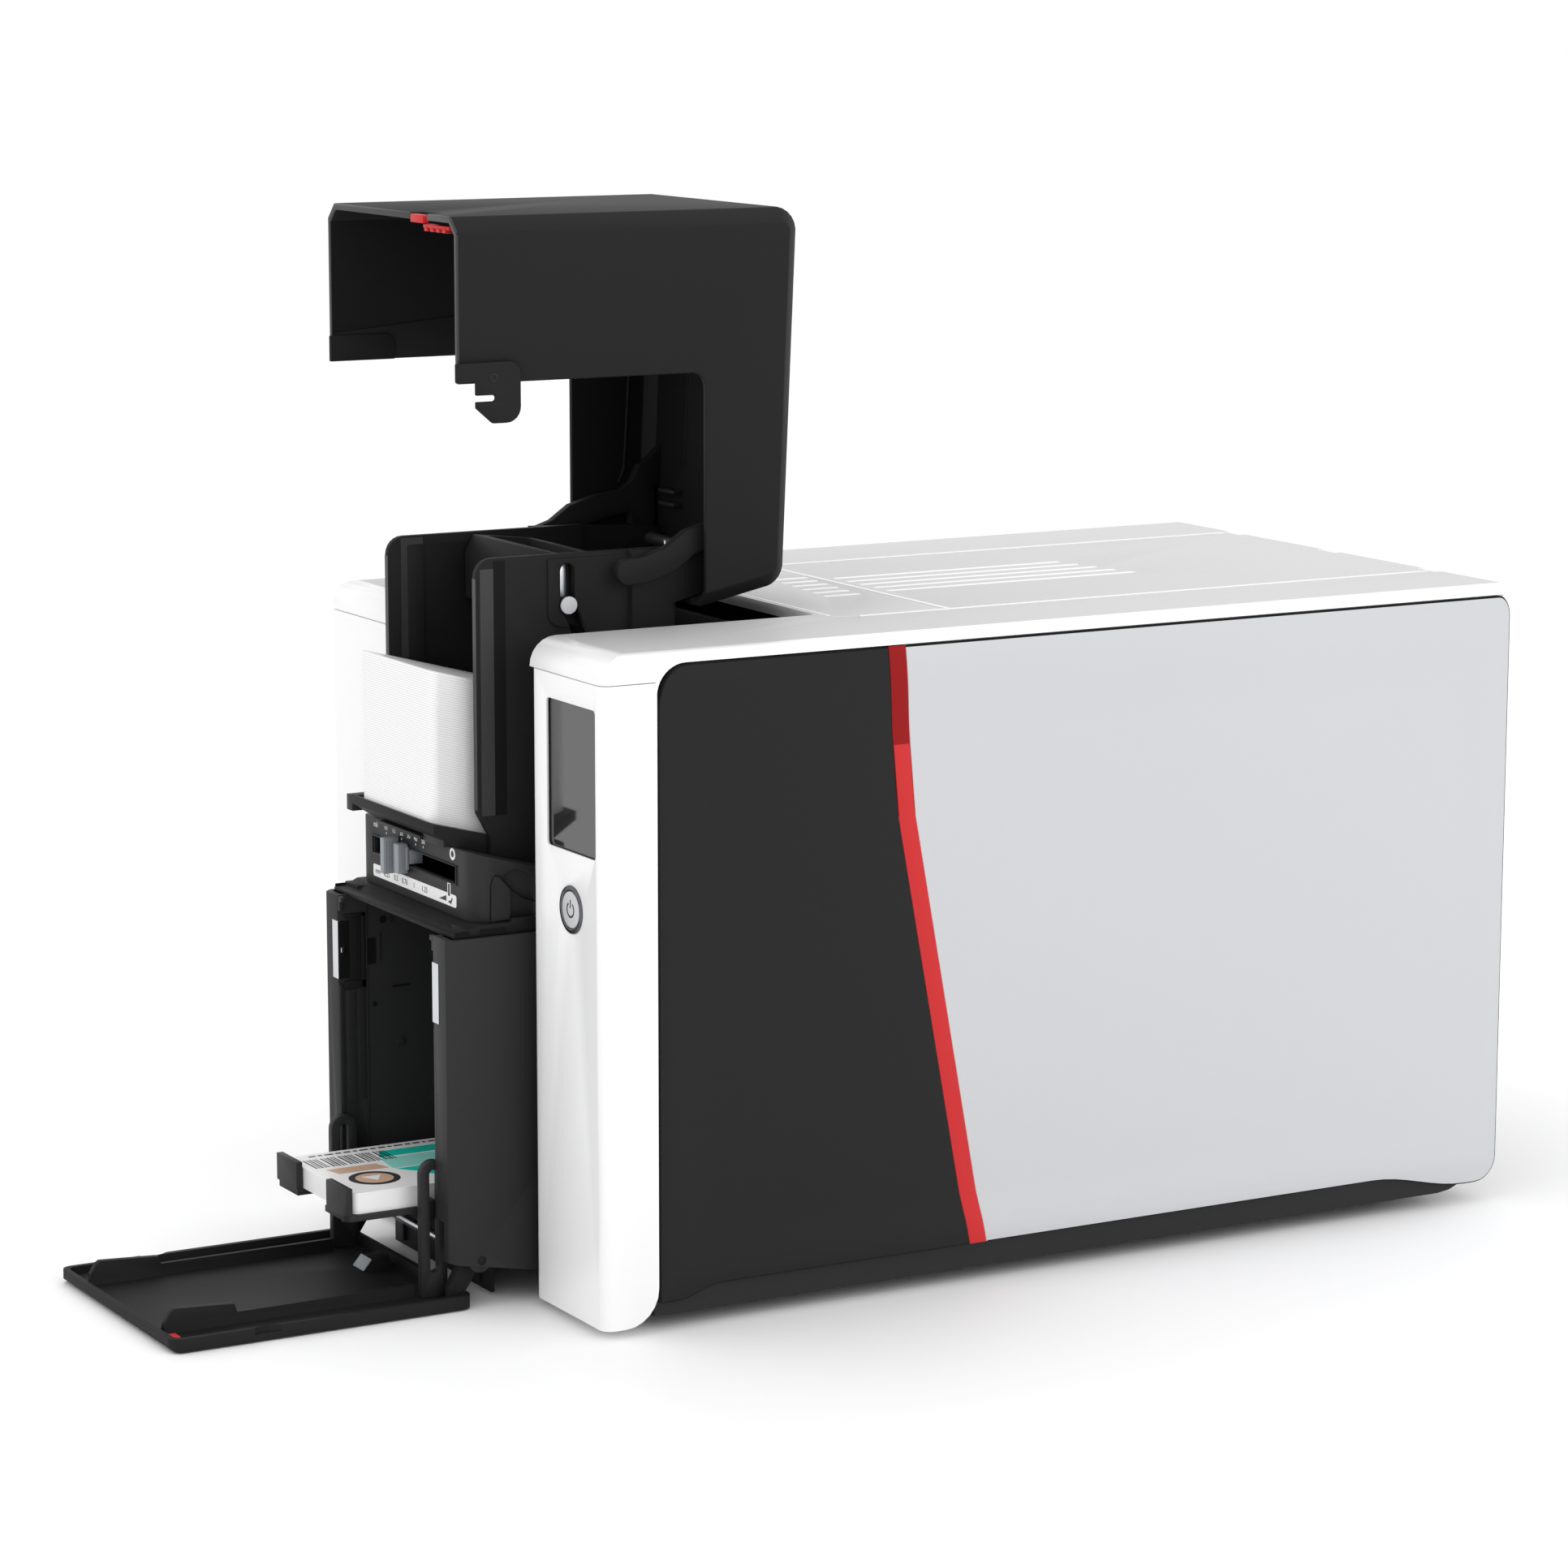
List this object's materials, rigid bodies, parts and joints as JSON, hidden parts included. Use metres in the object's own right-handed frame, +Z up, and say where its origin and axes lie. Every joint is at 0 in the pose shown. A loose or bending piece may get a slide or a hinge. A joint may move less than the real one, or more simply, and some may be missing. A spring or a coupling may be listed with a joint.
{
  "type": "id card printer",
  "caption": "Desktop ID card printer with a hinged input hood over a card feeder, a fold-down output hopper door with sliding tray, and a top cover over the print engine.",
  "frame": {"origin": "on the table, under the middle of the overall box with the hood and the hopper door open", "axes": "+Z up, the front with feeder and hopper faces -Y, +X to the right of someone facing the front"},
  "size_m": [0.205, 0.4802, 0.354],
  "materials": {
    "white_shell": "fine satin",
    "panel_grey": "satin",
    "black_plastic": "fine grained",
    "dark_plastic": "fine grained",
    "stripe_red": "semi gloss",
    "slider_grey": "satin",
    "steel": "brushed",
    "screen": "glossy",
    "board": "solder mask",
    "rubber_black": "matt",
    "rubber_red": "matt",
    "cards_white": "smooth",
    "cards_printed": "glossy print",
    "ribbon": "film",
    "brass": "machined"
  },
  "bodies": {
    "chassis": {"lower_housing": "dark_plastic", "feet": "rubber_black", "right_column": "white_shell", "left_column": "white_shell", "front_bay": "black_plastic", "rear_panel": "dark_plastic", "right_panel_front": "black_plastic", "right_stripe": "stripe_red", "right_panel_rear": "panel_grey", "left_panel_front": "black_plastic", "left_stripe": "stripe_red", "left_panel_rear": "panel_grey", "cover_hinge_pin": "steel", "rear_cap": "white_shell", "screen_glass": "screen", "display_module": "board", "button_ring": "slider_grey", "feeder_frame": "black_plastic", "feeder_floor": "black_plastic", "blank_cards": "cards_white", "gauge_housing": "dark_plastic", "hood_hinge_pin": "steel", "hopper": "dark_plastic", "hopper_cap": "black_plastic", "leaf_springs": "steel", "door_hinge_pin": "steel", "engine_plates": "steel", "drive_motor": "dark_plastic", "drive_belt": "rubber_black", "main_board": "board", "fan_frame": "dark_plastic", "rear_sockets": "black_plastic", "screws": "steel"},
    "cover": {"top_cover": "white_shell", "front_insert": "white_shell", "vent_panel": "white_shell", "print_head": "steel"},
    "hood": {"hood": "black_plastic", "hood_arms": "black_plastic", "hood_hook": "black_plastic"},
    "hood_latch": {"hood_latch": "stripe_red"},
    "card_weight": {"card_weight": "black_plastic"},
    "gauge_slider": {"gauge_slider": "slider_grey"},
    "hopper_door": {"hopper_door": "black_plastic", "door_arms": "dark_plastic"},
    "card_tray": {"card_tray": "dark_plastic", "printed_cards": "cards_printed"},
    "power_button": {"power_button": "white_shell"},
    "feed_roller": {"feed_roller": "rubber_black"},
    "cleaning_roller": {"cleaning_roller": "rubber_red"},
    "platen": {"platen": "rubber_black"},
    "exit_roller": {"exit_roller": "rubber_black"},
    "entry_pinch": {"entry_pinch": "steel"},
    "exit_pinch": {"exit_pinch": "steel"},
    "motor_pinion": {"motor_pinion": "brass"},
    "ribbon_supply": {"ribbon_supply": "ribbon"},
    "ribbon_takeup": {"ribbon_takeup": "ribbon"},
    "fan_rotor": {"fan_rotor": "black_plastic"}
  },
  "joints": [
    {"name": "cover_hinge", "type": "hinge", "parent": "chassis", "child": "cover", "pos_m": [0, 0.23785, 0.2182], "axis": [-1, 0, 0], "range_deg": [0, 75]},
    {"name": "hood_hinge", "type": "hinge", "parent": "chassis", "child": "hood", "pos_m": [0, -0.0247, 0.23725], "axis": [1, 0, 0], "range_deg": [0, 90]},
    {"name": "hood_latch_slide", "type": "slide", "parent": "hood", "child": "hood_latch", "axis": [0, 1, 0], "range_m": [0, 0.0025], "stiffness_N_per_m": 200},
    {"name": "weight_slide", "type": "slide", "parent": "chassis", "child": "card_weight", "axis": [0, 0.454, -0.891], "range_m": [0, 0.02]},
    {"name": "gauge_slide", "type": "slide", "parent": "chassis", "child": "gauge_slider", "axis": [1, 0, 0], "range_m": [0, 0.024]},
    {"name": "door_hinge", "type": "hinge", "parent": "chassis", "child": "hopper_door", "pos_m": [0, -0.1316, 0.01605], "axis": [-1, 0, 0], "range_deg": [0, 90]},
    {"name": "tray_slide", "type": "slide", "parent": "chassis", "child": "card_tray", "axis": [0, 1, 0], "range_m": [0, 0.027]},
    {"name": "power_button_press", "type": "slide", "parent": "chassis", "child": "power_button", "axis": [0, 1, 0], "range_m": [0, 0.0012], "stiffness_N_per_m": 300},
    {"name": "feed_roller_spin", "type": "hinge", "parent": "chassis", "child": "feed_roller", "pos_m": [0, -0.08429, 0.1363], "axis": [1, 0, 0], "continuous": true},
    {"name": "platen_spin", "type": "hinge", "parent": "chassis", "child": "platen", "pos_m": [0, 0.09055, 0.1139], "axis": [1, 0, 0], "continuous": true},
    {"name": "cleaning_roller_spin", "type": "hinge", "parent": "chassis", "child": "cleaning_roller", "pos_m": [0, 0.01355, 0.1149], "axis": [1, 0, 0], "continuous": true},
    {"name": "exit_roller_spin", "type": "hinge", "parent": "chassis", "child": "exit_roller", "pos_m": [0, 0.13355, 0.1149], "axis": [1, 0, 0], "continuous": true},
    {"name": "entry_pinch_spin", "type": "hinge", "parent": "chassis", "child": "entry_pinch", "pos_m": [0, 0.01355, 0.1279], "axis": [1, 0, 0], "continuous": true},
    {"name": "exit_pinch_spin", "type": "hinge", "parent": "chassis", "child": "exit_pinch", "pos_m": [0, 0.13355, 0.1279], "axis": [1, 0, 0], "continuous": true},
    {"name": "motor_pinion_spin", "type": "hinge", "parent": "chassis", "child": "motor_pinion", "pos_m": [0, 0.11055, 0.084], "axis": [1, 0, 0], "continuous": true},
    {"name": "ribbon_supply_spin", "type": "hinge", "parent": "chassis", "child": "ribbon_supply", "pos_m": [0, 0.14755, 0.172], "axis": [1, 0, 0], "continuous": true},
    {"name": "ribbon_takeup_spin", "type": "hinge", "parent": "chassis", "child": "ribbon_takeup", "pos_m": [0, 0.03555, 0.172], "axis": [1, 0, 0], "continuous": true},
    {"name": "fan_spin", "type": "hinge", "parent": "chassis", "child": "fan_rotor", "pos_m": [-0.052, 0.23055, 0.06], "axis": [0, 1, 0], "continuous": true}
  ],
  "couplings": [
    {"joint": "tray_slide", "follows": "door_hinge", "m_per_rad": 0.017189},
    {"joint": "cleaning_roller_spin", "follows": "platen_spin", "ratio": 1.1429},
    {"joint": "exit_roller_spin", "follows": "platen_spin", "ratio": 1.1429},
    {"joint": "motor_pinion_spin", "follows": "platen_spin", "ratio": 2},
    {"joint": "entry_pinch_spin", "follows": "platen_spin", "ratio": -1.6},
    {"joint": "exit_pinch_spin", "follows": "platen_spin", "ratio": -1.6},
    {"joint": "ribbon_takeup_spin", "follows": "ribbon_supply_spin", "ratio": 1.5}
  ]
}
